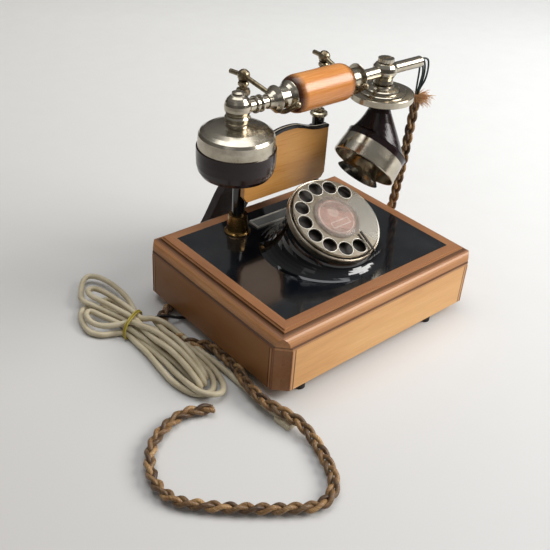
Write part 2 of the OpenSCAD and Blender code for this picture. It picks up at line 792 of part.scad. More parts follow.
// From a level neck under the disc down to a ridge, and a short band behind the tilted mouth
module mouth_cone_solid(shrink, over) {
    neck = [mouth_x, tube_y, cone_top - 4.3];
    mouth = [mouth_x, tube_y, mouth_z];
    ridge = mouth - cone_h * mouth_axis;
    lofted(concat(
        [cone_ring(neck + [0, 0, 4.3 - shrink], cone_neck - shrink, 0)],
        [for (t = [0:0.2:1]) cone_ring(neck + t * (ridge - neck), cone_neck + (28.6 - cone_neck) * pow(t, 1.3) - shrink,
            mouth_tilt * t)],
        [cone_ring(ridge + 0.5 * mouth_axis, mouth_r + 0.3 - shrink, mouth_tilt),
            cone_ring(ridge + 1.3 * mouth_axis, mouth_r - shrink, mouth_tilt),
            cone_ring(mouth + over * mouth_axis, mouth_r - shrink, mouth_tilt)]));
}

module mouthpiece_cone() {
    color("#2a1410")
        difference() {
            mouth_cone_solid(0, 0);
            mouth_cone_solid(2.5, 1);
        }
}

band_h = 17.5;
module mouthpiece_band() {
    floor_z = 9.6;
    color("silver")
        mouth_frame() rotate_extrude()
            polygon([[13, floor_z], [mouth_r - 1.4, floor_z - 1], [mouth_r - 1.8, 0], [mouth_r, 0],
                [30.4, 8], [30.9, band_h - 0.8], [30.6, band_h], [29.4, band_h], [29, floor_z + 0.8],
                [13, floor_z + 1.2]]);
}

// Flared horn with a pierced floor
module mouthpiece_horn() {
    low = 10.8;
    top = 27.1;
    color("silver")
        mouth_frame()
            difference() {
                rotate_extrude()
                    polygon([[0, low], [13, low], [13.6, low + 4], [15, low + 8], [17.4, low + 12.6], [20.2, top - 0.6],
                        [20.5, top], [19.6, top], [16.4, low + 12.6], [13.9, low + 8], [12.2, low + 2], [0, low + 1.4]]);
                cylinder(r = 1.2, h = 20);
                for (a = [0:60:300]) rotate(a) translate([5, 0, 0]) cylinder(r = 1.2, h = 20);
            }
}

module mouthpiece_capsule() {
    color("gray")
        mouth_frame() {
            cylinder(r = 24, h = 5);
            cylinder(r = 27, h = 1.5);
        }
}

// ---- Bell and wiring in the base ----
gong_spots = [[-32, -48], [22, -48]];
module ringer_gongs() {
    gong_r = 20;
    rim = 27;
    color("gold")
        for (s = gong_spots)
            translate([s[0], s[1], 0])
                rotate_extrude()
                    polygon([[0, floor_top], [4, floor_top], [4, 38.6], [9, 38.6], [15, 36.4], [18.4, 32],
                        [gong_r - 0.9, rim], [gong_r, rim], [19.4, 32.4], [15.8, 37.6], [9.4, 40], [0, 40]]);
}

clapper_pivot = [-5, -5];
module ringer_coils() {
    color("firebrick")
        for (x = [-17, 7])
            translate([x, 12, floor_top + 1.5]) cylinder(r = 8, h = 26);
    color("gray") {
        translate([-28, -9, floor_top]) cube([46, 32, 1.5]);
        translate([clapper_pivot[0], clapper_pivot[1], floor_top + 1.5]) cylinder(r = 1.5, h = 20);
        translate([clapper_pivot[0], clapper_pivot[1], floor_top + 1.5]) cylinder(r = 4, h = 11);
    }
}

module bell_clapper() {
    low = 26.5;
    color("silver")
        translate([clapper_pivot[0], clapper_pivot[1], low]) {
            difference() {
                union() {
                    cylinder(r = 3.4, h = 5);
                    translate([-16, -2.5, 0]) cube([32, 5, 4]);
                }
                translate([0, 0, -1]) cylinder(r = 1.5 + run, h = 8);
            }
            translate([0, -3, 2.5]) rotate([90, 0, 0]) cylinder(r = 0.9, h = 40);
            translate([0, -43, 2.5]) sphere(r = 3.4);
        }
}

module terminal_block() {
    color("ivory") translate([-84, 14, floor_top]) cube([40, 12, 10]);
    color("gold")
        for (i = [0:3]) translate([-79 + 10 * i, 20, floor_top + 10]) cylinder(r = 2.2, h = 1.6);
    color("gray") translate([50, -62, floor_top]) cube([24, 30, 20]);
}

// ---- Cords ----
module handset_wires() {
    color("darkgreen")
        for (w = wire_routes) swept_tube(smooth_route(w, 2), wire_r, 8);
}

module handset_cord() {
    color("saddlebrown") swept_tube(plait_route, plait_d / 2, 8);
}

module line_lead() {
    color("black") swept_tube(lead_route, lead_r, 8);
}

// Outer shape of the folded white cord: wide open loops at the far end, narrow at the band
module line_hank() {
    color("whitesmoke")
        linear_extrude(15)
            hull() {
                translate([-168, 106]) circle(r = 28, $fn = 32);
                translate([-154, -38]) circle(r = 17, $fn = 32);
            }
}

module line_tail() {
    color("whitesmoke") swept_tube(tail_route, line_d / 2, 8);
}

module line_plug() {
    end = tail_route[len(tail_route) - 1];
    color("whitesmoke")
        translate([end[0], end[1], 0.1]) rotate([0, 0, 5])
            translate([-plug_size[0] / 2, -plug_size[1], 0]) cube(plug_size);
}

front_board();
rear_board();
side_boards();
corner_posts();
top_moulding();
bottom_board();
bottom_screws();
feet();
deck_plate();
card_frame();
card_paper();
posts();
post_ferrules();
post_caps();
post_nuts();
back_panel();
panel_edging();
panel_clamps();
rear_stay();
dial_housing();
dial_bezel();
dial_face();
mechanism_plate();
finger_stop();
finger_wheel();
dial_shaft();
dial_gear();
centre_card();
centre_cap();
governor_rotor();
cradle_crossbar();
stems();
left_hook();
right_hook();
cradle_springs();
hook_switch();
handset_tube();
handset_grip();
handset_rings();
earpiece_knuckle();
earpiece_bell();
earpiece_cap();
earpiece_capsule();
mouthpiece_knuckle();
clamp_knob();
mouthpiece_disc();
mouthpiece_cone();
mouthpiece_band();
mouthpiece_horn();
mouthpiece_capsule();
ringer_gongs();
ringer_coils();
bell_clapper();
terminal_block();
handset_wires();
handset_cord();
line_lead();
line_hank();
line_tail();
line_plug();
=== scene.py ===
"""Looks of the desk telephone: materials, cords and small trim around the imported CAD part. Metres, +Z up."""
import json
import math
import random

import bpy
import numpy as np
from mathutils import Matrix, Vector


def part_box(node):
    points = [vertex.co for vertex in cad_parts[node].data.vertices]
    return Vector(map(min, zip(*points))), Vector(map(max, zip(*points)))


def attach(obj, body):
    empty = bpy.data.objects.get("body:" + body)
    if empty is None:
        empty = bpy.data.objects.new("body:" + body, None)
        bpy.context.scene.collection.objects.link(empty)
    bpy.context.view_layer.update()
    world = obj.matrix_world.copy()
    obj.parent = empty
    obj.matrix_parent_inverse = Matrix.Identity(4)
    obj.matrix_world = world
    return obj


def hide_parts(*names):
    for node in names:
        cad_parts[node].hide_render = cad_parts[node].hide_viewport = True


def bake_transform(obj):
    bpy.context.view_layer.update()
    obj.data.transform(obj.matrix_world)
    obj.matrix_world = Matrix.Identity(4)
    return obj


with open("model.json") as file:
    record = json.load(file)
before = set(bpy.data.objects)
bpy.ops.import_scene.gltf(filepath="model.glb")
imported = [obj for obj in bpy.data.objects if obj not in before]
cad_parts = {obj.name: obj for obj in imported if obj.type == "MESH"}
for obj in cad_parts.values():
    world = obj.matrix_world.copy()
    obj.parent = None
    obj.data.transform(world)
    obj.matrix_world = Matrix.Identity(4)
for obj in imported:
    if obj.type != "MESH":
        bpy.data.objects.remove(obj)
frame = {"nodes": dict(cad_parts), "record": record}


def write_size():
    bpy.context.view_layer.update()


write_size()

scene = bpy.context.scene
record = frame["record"]
MM = 0.001


# ---- Camera ----
LENS = 53.38
CAMERA_AT = (-0.4406, -0.4329, 0.4357)
CAMERA_RIGHT = (0.7621, -0.6445, 0.0608)
CAMERA_UP = (0.3206, 0.4573, 0.8296)
CAMERA_BACK = (-0.5625, -0.6128, 0.5552)


def set_camera():
    data = bpy.data.cameras.new("camera")
    data.lens = LENS
    data.sensor_width = 36
    data.clip_start = 0.01
    camera = bpy.data.objects.new("camera", data)
    scene.collection.objects.link(camera)
    turn = Matrix((CAMERA_RIGHT, CAMERA_UP, CAMERA_BACK)).transposed()
    camera.matrix_world = Matrix.Translation(CAMERA_AT) @ turn.to_4x4()
    scene.camera = camera


set_camera()


# ---- Geometry helpers ----
def smooth_line(points, step):
    """The curve through points in millimetres, cut into equal steps of about that length, and its length."""
    cuts = 12
    p = [Vector(q) * MM for q in points]
    dense = []
    for i in range(len(p) - 1):
        a, b, c, d = p[max(i - 1, 0)], p[i], p[i + 1], p[min(i + 2, len(p) - 1)]
        for k in range(cuts):
            t = k / cuts
            square = (2 * a - 5 * b + 4 * c - d) * t * t
            cube = (3 * b - a - 3 * c + d) * t ** 3
            dense.append(0.5 * ((2 * b) + (c - a) * t + square + cube))
    dense.append(p[-1])
    line = np.array(dense)
    along = np.concatenate([[0], np.cumsum(np.linalg.norm(np.diff(line, axis=0), axis=1))])
    count = max(2, round(along[-1] / step))
    at = np.linspace(0, along[-1], count + 1)
    return np.stack([np.interp(at, along, line[:, k]) for k in range(3)], 1), along[-1]


def frames_along(line):
    """Side and up vectors that do not twist along the line."""
    tangents = np.gradient(line, axis=0)
    tangents /= np.linalg.norm(tangents, axis=1)[:, None]
    up = np.array([0.1, 0.3, 1.0])
    sides, ups = [], []
    for t in tangents:
        up = up - t * (up @ t)
        up /= np.linalg.norm(up)
        sides.append(np.cross(t, up))
        ups.append(up)
    return np.array(sides), np.array(ups)


def tube_rings(line, radius, sides_n):
    """Rings of points around a line; radius may vary along it."""
    side, up = frames_along(line)
    r = np.broadcast_to(radius, len(line))
    a = np.linspace(0, 2 * math.pi, sides_n, endpoint=False)
    around = np.cos(a)[None, :, None] * side[:, None] + np.sin(a)[None, :, None] * up[:, None]
    return line[:, None] + r[:, None, None] * around


LANE_EDGE = 0.02


def mesh_of_tubes(name, tubes, capped=True):
    """One mesh of tubes, each (rings, lane). UVs are metres along, and the lane plus the share around."""
    share = 1 - 2 * LANE_EDGE
    verts, faces, uvs = [], [], []
    for rings, lane in tubes:
        n, m = rings.shape[:2]
        base = len(verts)
        verts += [tuple(v) for v in rings.reshape(-1, 3)]
        mid = rings.mean(1)
        along = np.concatenate([[0], np.cumsum(np.linalg.norm(np.diff(mid, axis=0), axis=1))])
        for i in range(n - 1):
            for k in range(m):
                k2 = (k + 1) % m
                row, next_row = base + i * m, base + (i + 1) * m
                faces.append((row + k, row + k2, next_row + k2, next_row + k))
                v, v2 = lane + LANE_EDGE + share * k / m, lane + LANE_EDGE + share * (k + 1) / m
                uvs += [(along[i], v), (along[i], v2), (along[i + 1], v2), (along[i + 1], v)]
        if capped:
            faces.append(tuple(base + k for k in range(m - 1, -1, -1)))
            uvs += [(along[0], lane + 0.5)] * m
            faces.append(tuple(base + (n - 1) * m + k for k in range(m)))
            uvs += [(along[-1], lane + 0.5)] * m
    mesh = bpy.data.meshes.new(name)
    mesh.from_pydata(verts, [], faces)
    layer = mesh.uv_layers.new(name="UVMap")
    layer.data.foreach_set("uv", np.array(uvs, float).ravel())
    mesh.polygons.foreach_set("use_smooth", [True] * len(faces))
    mesh.update()
    made = bpy.data.objects.new(name, mesh)
    scene.collection.objects.link(made)
    return made


def round_cord(name, line, radius):
    """One plain round tube along a line."""
    return mesh_of_tubes(name, [(tube_rings(line, radius, 12), 0)])


# ---- Shader helpers ----
def rgb(r, g, b):
    """Linear colour of an sRGB triple."""
    linear = [(c / 255 / 12.92) if c <= 10 else ((c / 255 + 0.055) / 1.055) ** 2.4 for c in (r, g, b)]
    return (*linear, 1.0)


class Shade:
    """A material of shader nodes, built step by step. Values may be numbers, colours or node outputs."""

    def __init__(self, name):
        self.material = bpy.data.materials.new(name)
        self.material.use_nodes = True
        self.tree = self.material.node_tree
        self.tree.nodes.clear()
        self.out = self.tree.nodes.new("ShaderNodeOutputMaterial")
        self.shader = self.tree.nodes.new("ShaderNodeBsdfPrincipled")
        self.link(self.shader.outputs[0], self.out.inputs[0])
        self.place = self.tree.nodes.new("ShaderNodeTexCoord").outputs["Object"]

    def link(self, a, b):
        self.tree.links.new(a, b)

    def give(self, socket, value):
        if isinstance(value, bpy.types.NodeSocket):
            self.link(value, socket)
        else:
            socket.default_value = value

    def set(self, **values):
        names = {"color": "Base Color", "rough": "Roughness", "metal": "Metallic", "coat": "Coat Weight",
                 "coat_rough": "Coat Roughness", "spec": "Specular IOR Level", "sheen": "Sheen Weight",
                 "normal": "Normal"}
        for key, value in values.items():
            self.give(self.shader.inputs[names[key]], value)

    def math(self, op, a, b=0.0):
        n = self.tree.nodes.new("ShaderNodeMath")
        n.operation = op
        for socket, value in zip(n.inputs, (a, b)):
            self.give(socket, value)
        return n.outputs[0]

    def both(self, a, b):
        return self.math("MULTIPLY", a, b)

    def above(self, a, limit):
        return self.math("GREATER_THAN", a, limit)

    def below(self, a, limit):
        return self.math("LESS_THAN", a, limit)

    def size(self, a):
        return self.math("ABSOLUTE", a)

    def add(self, a, b):
        return self.math("ADD", a, b)

    def axes(self, vector=None):
        n = self.tree.nodes.new("ShaderNodeSeparateXYZ")
        self.give(n.inputs[0], vector or self.place)
        return n.outputs

    def vector(self, x, y, z):
        n = self.tree.nodes.new("ShaderNodeCombineXYZ")
        for socket, value in zip(n.inputs, (x, y, z)):
            self.give(socket, value)
        return n.outputs[0]

    def scaled(self, sx, sy, sz, vector=None):
        n = self.tree.nodes.new("ShaderNodeMapping")
        self.give(n.inputs["Vector"], vector or self.place)
        n.inputs["Scale"].default_value = (sx, sy, sz)
        return n.outputs[0]

    def noise(self, scale, detail=4.0, rough=0.55, vector=None, distort=0.0):
        n = self.tree.nodes.new("ShaderNodeTexNoise")
        self.give(n.inputs["Vector"], vector or self.place)
        n.inputs["Scale"].default_value = scale
        n.inputs["Detail"].default_value = detail
        n.inputs["Roughness"].default_value = rough
        n.inputs["Distortion"].default_value = distort
        return n.outputs["Fac"]

    def cells(self, scale):
        n = self.tree.nodes.new("ShaderNodeTexVoronoi")
        self.give(n.inputs["Vector"], self.place)
        n.inputs["Scale"].default_value = scale
        return n.outputs["Distance"]

    def ramp(self, value, stops):
        n = self.tree.nodes.new("ShaderNodeValToRGB")
        self.give(n.inputs[0], value)
        while len(n.color_ramp.elements) < len(stops):
            n.color_ramp.elements.new(0.5)
        for element, (at, color) in zip(n.color_ramp.elements, stops):
            element.position = at
            element.color = color
        return n.outputs[0]

    def span(self, value, low, high, to_low=0.0, to_high=1.0):
        n = self.tree.nodes.new("ShaderNodeMapRange")
        for socket, v in zip(n.inputs, (value, low, high, to_low, to_high)):
            self.give(socket, v)
        return n.outputs[0]

    def mix(self, fac, a, b):
        n = self.tree.nodes.new("ShaderNodeMix")
        n.data_type = "RGBA"
        self.give(n.inputs["Factor"], fac)
        self.give(n.inputs[6], a)
        self.give(n.inputs[7], b)
        return n.outputs[2]

    def blend(self, fac, a, b):
        n = self.tree.nodes.new("ShaderNodeMix")
        n.data_type = "FLOAT"
        self.give(n.inputs["Factor"], fac)
        self.give(n.inputs[2], a)
        self.give(n.inputs[3], b)
        return n.outputs[0]

    def bump(self, height, distance, strength):
        n = self.tree.nodes.new("ShaderNodeBump")
        self.give(n.inputs["Height"], height)
        n.inputs["Distance"].default_value = distance
        n.inputs["Strength"].default_value = strength
        return n.outputs[0]

    def facing_up(self):
        n = self.tree.nodes.new("ShaderNodeNewGeometry")
        return self.axes(n.outputs["Normal"])[2]


# ---- Materials ----
CASE_HALF_WIDE = 0.115
CASE_HALF_DEEP = 0.0925
BOARD_TOP = 0.0484
DIAL_CENTRE = (0, -0.0219, 0.0946)
DIAL_TILT = 27.5


def wood(name, dark, mid, light, along="mitre", rough=0.36, coat=0.12, extra=None):
    """Plain sawn wood with the grain along the length of each board."""
    s = Shade(name)
    x, y, z = s.axes()
    if along == "mitre":
        past_side = s.math("SUBTRACT", s.size(x), CASE_HALF_WIDE)
        past_front = s.math("SUBTRACT", s.size(y), CASE_HALF_DEEP)
        side = s.above(past_side, past_front)
        grain = s.vector(s.blend(side, x, y), s.blend(side, y, x), z)
    elif along == "upright":
        grain = s.vector(z, y, x)
    else:
        grain = s.place
    broad = s.noise(1, 3, 0.5, s.scaled(6, 38, 38, grain), 0.5)
    fine = s.noise(1, 5, 0.6, s.scaled(40, 700, 700, grain))
    pores = s.noise(1, 2, 0.5, s.scaled(90, 2200, 2200, grain))
    cloud = s.noise(14, 3)
    value = s.add(s.both(broad, 0.62), s.both(fine, 0.38))
    color = s.ramp(value, [(0.26, dark), (0.48, mid), (0.70, light)])
    streak = s.span(pores, 0.64, 0.78, 0, 0.3)
    color = s.mix(streak, color, dark)
    color = s.mix(s.span(cloud, 0.35, 0.7, 0, 0.35), color, mid)
    if extra is not None:
        color = extra(s, color)
    s.set(color=color, rough=s.span(fine, 0.3, 0.7, rough - 0.07, rough + 0.13), coat=coat, coat_rough=0.22,
          normal=s.bump(s.add(fine, s.both(pores, -0.5)), 0.00012, 0.5), spec=0.28)
    return s.material


def metal(name, color, dull, rough=0.16, tarnish=0.4, scale=60):
    """Plated metal: clean on most of its surface, with dull clouds, fine scratches and dark pits."""
    s = Shade(name)
    cloud = s.noise(scale, 5, 0.62)
    dirt = s.span(cloud, 0.45, 0.72, 0, tarnish)
    base = s.mix(dirt, color, dull)
    pits = s.span(s.cells(700), 0.08, 0.16, 0.45, 0)
    base = s.mix(s.both(pits, s.span(cloud, 0.4, 0.6)), base, dull)
    scratch = s.noise(1, 2, 0.5, s.scaled(300, 300, 3500))
    s.set(color=base, metal=1.0,
          rough=s.add(s.span(cloud, 0.35, 0.7, rough * 0.7, rough * 1.8), s.both(scratch, 0.06)),
          normal=s.bump(s.add(cloud, s.both(scratch, 0.25)), 0.00006, 0.5))
    return s.material


def gloss(name, color, rough, dust, shine=0.55):
    """Glossy dark enamel or moulded plastic with a little dust on its upper faces."""
    s = Shade(name)
    specks = s.both(s.span(s.noise(1500, 2, 0.6), 0.66, 0.76), s.span(s.noise(40, 3), 0.42, 0.62))
    haze = s.span(s.noise(22, 4, 0.6), 0.42, 0.75, 0, 0.12)
    up = s.span(s.facing_up(), 0.3, 0.9)
    amount = s.both(s.add(s.both(specks, dust), s.both(haze, dust)), up)
    smear = s.span(s.noise(30, 4), 0.3, 0.7, rough * 0.8, rough * 1.7)
    s.set(color=s.mix(amount, color, rgb(120, 120, 118)), rough=s.add(smear, s.both(amount, 0.4)), spec=shine,
          coat=0.5 * shine, coat_rough=rough * 0.6, normal=s.bump(s.noise(90, 3), 0.00005, 0.35))
    return s.material


def plastic(name, color, stain, rough, scale=50, grainy=0.4):
    """Matt or aged plastic, rubber, card or board."""
    s = Shade(name)
    cloud = s.noise(scale, 5, 0.6)
    s.set(color=s.mix(s.span(cloud, 0.38, 0.72, 0, 0.75), color, stain),
          rough=s.span(cloud, 0.3, 0.7, rough * 0.85, min(1, rough * 1.2)),
          spec=0.4, normal=s.bump(s.noise(scale * 20, 3), 0.00008, grainy))
    return s.material


def between(s, value, low, high, soft):
    """One inside the two limits and nothing outside, with soft edges."""
    return s.both(s.span(value, low - soft, low + soft), s.span(value, high - soft, high + soft, 1, 0))


def length_of(s, x, y):
    return s.math("SQRT", s.add(s.both(x, x), s.both(y, y)))


def dial_place(s):
    """Place in the dial's own face: X, Y, the distance from its middle and the angle round it."""
    _, mid_y, _ = DIAL_CENTRE
    n = s.tree.nodes.new("ShaderNodeVectorRotate")
    n.rotation_type = "X_AXIS"
    s.give(n.inputs["Vector"], s.place)
    n.inputs["Center"].default_value = DIAL_CENTRE
    n.inputs["Angle"].default_value = -math.radians(DIAL_TILT)
    x, y, _ = s.axes(n.outputs[0])
    y = s.add(y, -mid_y)
    return x, y, length_of(s, x, y), s.math("ARCTAN2", y, x)


def dial_nickel():
    """Worn nickel of the dial. The blank part of the finger wheel beyond its last hole is smoother and is
    painted lighter, as a painted reflection of its bright sheen.
    """
    card_r, blank_from, blank_to = 0.0212, math.radians(-58), math.radians(24)
    s = Shade("dial_nickel")
    _, _, radius, angle = dial_place(s)
    blank = s.both(between(s, angle, blank_from, blank_to, 0.03), s.above(radius, card_r))
    cloud = s.noise(70, 5, 0.62)
    brushed = s.noise(1, 2, 0.5, s.scaled(4000, 60, 1, s.vector(radius, angle, 0.0)))
    dull = s.mix(s.span(cloud, 0.4, 0.7), rgb(176, 166, 150), rgb(118, 106, 90))
    # Painted reflection: the blank part gets a lighter nickel colour that stands for its bright reflection.
    s.set(color=s.mix(blank, dull, rgb(206, 200, 188)), metal=1.0,
          rough=s.blend(blank, s.span(cloud, 0.3, 0.7, 0.24, 0.4), 0.24),
          normal=s.bump(s.add(cloud, s.both(brushed, 0.3)), 0.00005, 0.5))
    return s.material


def dial_card():
    """Faded card: a thin pale ring, a plain empty box and a faded round patch, with no writing or mark."""
    ring_in, ring_out = 0.0155, 0.0163
    box_wide, box_high, box_line, box_y = 0.0098, 0.0030, 0.0008, -0.0062
    patch_r, patch_y = 0.0052, 0.0055
    s = Shade("dial_card")
    x, y, radius, _ = dial_place(s)
    fade = s.noise(60, 5, 0.65)
    base = s.mix(s.span(fade, 0.35, 0.65), rgb(176, 128, 114), rgb(204, 166, 152))
    wide = s.size(x)
    high = s.size(s.add(y, -box_y))
    box_out = s.both(s.below(wide, box_wide), s.below(high, box_high))
    box_in = s.both(s.below(wide, box_wide - box_line), s.below(high, box_high - box_line))
    ring = between(s, radius, ring_in, ring_out, 0.00015)
    line = s.math("MAXIMUM", ring, s.math("SUBTRACT", box_out, box_in))
    patch = between(s, length_of(s, x, s.add(y, -patch_y)), -1, patch_r, 0.0006)
    base = s.mix(s.both(patch, s.span(fade, 0.3, 0.6, 0.35, 0.75)), base, rgb(218, 200, 190))
    s.set(color=s.mix(line, base, rgb(228, 216, 206)), rough=0.5,
          normal=s.bump(s.noise(900, 3), 0.00005, 0.4))
    return s.material


def clear_cap():
    """Clear plastic, slightly clouded with age."""
    s = Shade("cap_clear")
    haze = s.noise(80, 4, 0.6)
    s.set(color=rgb(206, 196, 188), rough=0.12, spec=0.6, normal=s.bump(haze, 0.00005, 0.4))
    clear = s.tree.nodes.new("ShaderNodeBsdfTransparent")
    clear.inputs[0].default_value = (0.93, 0.9, 0.88, 1)
    join = s.tree.nodes.new("ShaderNodeMixShader")
    s.give(join.inputs[0], s.span(haze, 0.35, 0.7, 0.16, 0.34))
    s.link(clear.outputs[0], join.inputs[1])
    s.link(s.shader.outputs[0], join.inputs[2])
    s.link(join.outputs[0], s.out.inputs[0])
    return s.material


def edging():
    """Black edge with one pale line along the middle of its top."""
    line_from, line_to = 0.0440, 0.0452
    s = Shade("edge_black")
    _, y, _ = s.axes()
    line = s.both(between(s, y, line_from, line_to, 0.0001), s.above(s.facing_up(), 0.4))
    worn = s.noise(120, 4)
    pale = s.mix(s.span(worn, 0.4, 0.7), rgb(214, 206, 190), rgb(170, 156, 134))
    s.set(color=s.mix(line, rgb(20, 19, 20), pale), rough=s.span(worn, 0.3, 0.7, 0.12, 0.25), spec=0.5)
    return s.material


def darker_ends(s, color):
    """Dark stain near both ends of the grip."""
    x = s.size(s.axes()[0])
    return s.mix(s.span(x, 0.0225, 0.029), color, rgb(78, 40, 20))


def seams_highlight_and_shade(s, color):
    """Dark joint beside each corner post, and beside it a pale line that is a painted highlight along the
    board's edge. The left face is painted browner and darker as painted shade, to match how dark that face
    looks in its shade."""
    seam_wide, seam_deep = 0.1003, 0.0778
    front_from, flank_from = 0.0915, 0.114
    x, y, z = s.axes()
    # Painted shade: the left face is darkened and browned as if it stood in shade.
    color = s.mix(s.both(s.below(x, -flank_from), 0.75), color, rgb(104, 54, 22))
    wide, deep = s.size(x), s.size(y)
    front, flank = s.above(deep, front_from), s.above(wide, flank_from)
    board = s.below(z, BOARD_TOP)
    dark = s.math("MAXIMUM", s.both(front, between(s, wide, seam_wide, seam_wide + 0.0009, 0.0002)),
                  s.both(flank, between(s, deep, seam_deep, seam_deep + 0.0009, 0.0002)))
    # Painted highlight: a pale line along each board's edge, just beside the dark seam.
    pale = s.math("MAXIMUM", s.both(front, between(s, wide, seam_wide + 0.0013, seam_wide + 0.0027, 0.0003)),
                  s.both(flank, between(s, deep, seam_deep + 0.0012, seam_deep + 0.0026, 0.0003)))
    color = s.mix(s.both(s.both(pale, board), 0.55), color, rgb(214, 164, 112))
    return s.mix(s.both(s.both(dark, board), 0.85), color, rgb(52, 27, 12))


def corner_tones_and_shade(s, color):
    """Seams with their painted highlight and the painted shade of the left face, darker wood on the level top,
    and painted shade on the chamfers and in the two grooves.
    """
    chamfer_from = 0.1965
    low_groove, high_groove, groove_wide = 0.0503, 0.0592, 0.0010
    x, y, z = s.axes()
    color = seams_highlight_and_shade(s, color)
    upper = s.above(s.facing_up(), 0.9)
    color = s.mix(s.both(upper, 0.55), color, rgb(122, 80, 58))
    # Painted shade: the chamfers are darkened as if turned away from the light.
    chamfer = s.both(s.above(s.add(s.size(x), s.size(y)), chamfer_from), s.below(z, BOARD_TOP))
    color = s.mix(s.both(chamfer, 0.6), color, rgb(116, 72, 42))
    # Painted shade: dark lines in the two grooves, where shade falls at the moulding's steps.
    groove_shade = s.math("MAXIMUM", between(s, z, low_groove, low_groove + groove_wide, 0.0003),
                    between(s, z, high_groove, high_groove + groove_wide, 0.0003))
    return s.mix(s.both(groove_shade, 0.7), color, rgb(40, 20, 10))


def textile(name, dark, mid, light, second=None):
    """Fine twisted fibres that run along a strand. The later strands may be of a darker yarn."""
    twist = 160.0
    s = Shade(name)
    uv = s.tree.nodes.new("ShaderNodeTexCoord").outputs["UV"]
    u, v, _ = s.axes(uv)
    fibre = s.noise(1.0, 4, 0.6, s.vector(s.both(u, 220.0), s.both(s.add(v, s.both(u, twist)), 9.0), 0.0))
    patch = s.noise(1.0, 3, 0.6, s.vector(s.both(u, 60.0), v, 0.0))
    value = s.add(s.both(fibre, 0.55), s.both(patch, 0.45))
    color = s.ramp(value, [(0.34, dark), (0.5, mid), (0.66, light)])
    if second:
        share = s.add(s.span(v, 0.99, 1.01, 0, 0.5), s.span(v, 1.99, 2.01, 0, 0.4))
        color = s.mix(s.both(share, s.span(patch, 0.3, 0.6, 1, 0.7)), color, second)
    s.set(color=color, rough=0.45, coat=0.15, coat_rough=0.3, spec=0.35, sheen=0.1,
          normal=s.bump(fibre, 0.0003, 0.8))
    return s.material


def make_materials():
    """One finish for each material slot of the record."""
    return {
        "case_wood": wood("case_wood", rgb(182, 126, 72), rgb(212, 160, 102), rgb(228, 182, 124),
                          extra=seams_highlight_and_shade),
        "corner_wood": wood("corner_wood", rgb(130, 82, 46), rgb(176, 124, 80), rgb(200, 150, 102),
                            extra=corner_tones_and_shade),
        "floor_wood": wood("floor_wood", rgb(80, 52, 32), rgb(118, 82, 54), rgb(140, 100, 66),
                           along="length", rough=0.6, coat=0.0),
        # Painted shade, in part: the stay's near-black tone is partly a dark stain and partly the shade it
        # stands in.
        "stay_wood": wood("stay_wood", rgb(18, 8, 8), rgb(32, 13, 13), rgb(48, 20, 18),
                          along="upright", rough=0.5, coat=0.0),
        "panel_wood": wood("panel_wood", rgb(176, 112, 52), rgb(206, 146, 78), rgb(222, 168, 100),
                           along="length", rough=0.3, coat=0.15),
        "grip_wood": wood("grip_wood", rgb(162, 92, 40), rgb(204, 132, 66), rgb(220, 158, 92),
                          along="length", rough=0.22, coat=0.45, extra=darker_ends),
        "steel_screw": metal("steel_screw", rgb(190, 190, 190), rgb(110, 108, 104), 0.3),
        "foot_rubber": plastic("foot_rubber", rgb(34, 30, 30), rgb(52, 48, 44), 0.7),
        "deck_gloss": gloss("deck_gloss", rgb(12, 15, 20), 0.09, 0.5),
        "frame_metal": metal("frame_metal", rgb(236, 233, 224), rgb(196, 190, 176), 0.5),
        "card_paper": plastic("card_paper", rgb(128, 130, 128), rgb(104, 104, 100), 0.6, 40),
        "post_black": gloss("post_black", rgb(10, 10, 11), 0.07, 0.1),
        "old_brass": metal("old_brass", rgb(150, 118, 70), rgb(48, 36, 22), 0.2, 0.9, 120),
        "cap_nickel": metal("cap_nickel", rgb(214, 204, 176), rgb(126, 110, 78), 0.22, 0.6, 90),
        "edge_black": edging(),
        "clamp_steel": metal("clamp_steel", rgb(110, 108, 106), rgb(60, 56, 52), 0.35),
        "housing_black": gloss("housing_black", rgb(11, 13, 17), 0.07, 0.25),
        "dial_nickel": dial_nickel(),
        "dial_face": plastic("dial_face", rgb(52, 46, 42), rgb(30, 27, 25), 0.4, 80),
        "mech_brass": metal("mech_brass", rgb(208, 170, 92), rgb(130, 96, 44), 0.25),
        "stop_steel": metal("stop_steel", rgb(74, 70, 66), rgb(34, 31, 29), 0.3),
        "dial_card": dial_card(),
        "cap_clear": clear_cap(),
        "nickel": metal("nickel", rgb(192, 184, 168), rgb(116, 100, 76), 0.15, 0.5, 55),
        "hook_nickel": metal("hook_nickel", rgb(160, 146, 120), rgb(70, 52, 32), 0.22, 0.95, 120),
        "spring_steel": metal("spring_steel", rgb(150, 150, 152), rgb(90, 86, 80), 0.3),
        "contact_stack": plastic("contact_stack", rgb(206, 194, 166), rgb(170, 152, 118), 0.5),
        "bakelite": gloss("bakelite", rgb(28, 13, 14), 0.16, 0.08, shine=0.32),
        "capsule_metal": metal("capsule_metal", rgb(170, 170, 168), rgb(110, 106, 100), 0.35),
        "coil_red": plastic("coil_red", rgb(140, 54, 44), rgb(100, 36, 30), 0.4, 300),
        "green_wire": plastic("green_wire", rgb(20, 44, 38), rgb(12, 26, 24), 0.35, 120),
        "plait_brown": textile("plait_brown", rgb(72, 46, 22), rgb(140, 104, 62), rgb(200, 164, 114),
                               second=rgb(44, 24, 10)),
        "lead_black": plastic("lead_black", rgb(24, 22, 22), rgb(44, 40, 38), 0.5, 120),
        # Painted shade, in part: the cord's cream is darkened partly for its age and partly for the shade it
        # lies in.
        "white_cord": plastic("white_cord", rgb(204, 192, 164), rgb(164, 148, 116), 0.42, 34, 0.25),
    }


materials = make_materials()
slots = {row["node"]: row["material_slot"] for row in record["subparts"]}
for node_name, thing in frame["nodes"].items():
    thing.data.materials.clear()
    thing.data.materials.append(materials[slots[node_name]])


def dress(thing, slot_name, body="root"):
    thing.data.materials.clear()
    thing.data.materials.append(materials[slot_name])
    if body:
        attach(thing, body)
    return thing


